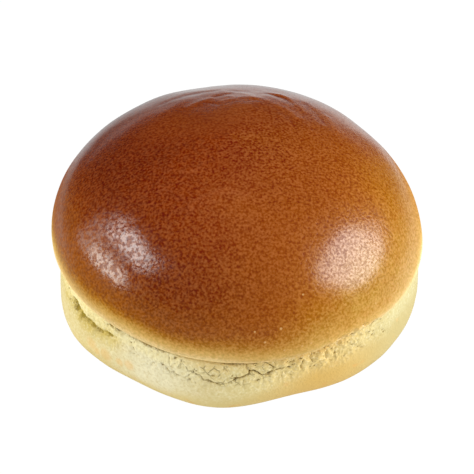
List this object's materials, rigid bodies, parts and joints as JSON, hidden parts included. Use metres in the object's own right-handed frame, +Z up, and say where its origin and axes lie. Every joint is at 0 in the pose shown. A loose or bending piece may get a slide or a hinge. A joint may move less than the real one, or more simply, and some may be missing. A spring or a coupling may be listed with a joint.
{
  "type": "brioche bun",
  "caption": "Round glazed brioche bun: a glossy browned dome with an overhanging lip, a pale torn waist and a flat foot to stand on.",
  "frame": {"origin": "middle of the flat underside, on the surface the bun stands on", "axes": "+Z up through the dome, -Y towards the front that the picture shows, +X to the right of that view"},
  "size_m": [0.1056, 0.1062, 0.0603],
  "materials": {
    "crust": "egg-washed browned crust, semi-gloss and finely pebbled on the dome, fading to matt cream at the torn waist"
  },
  "bodies": {
    "root": {"bun": "crust"}
  },
  "joints": []
}
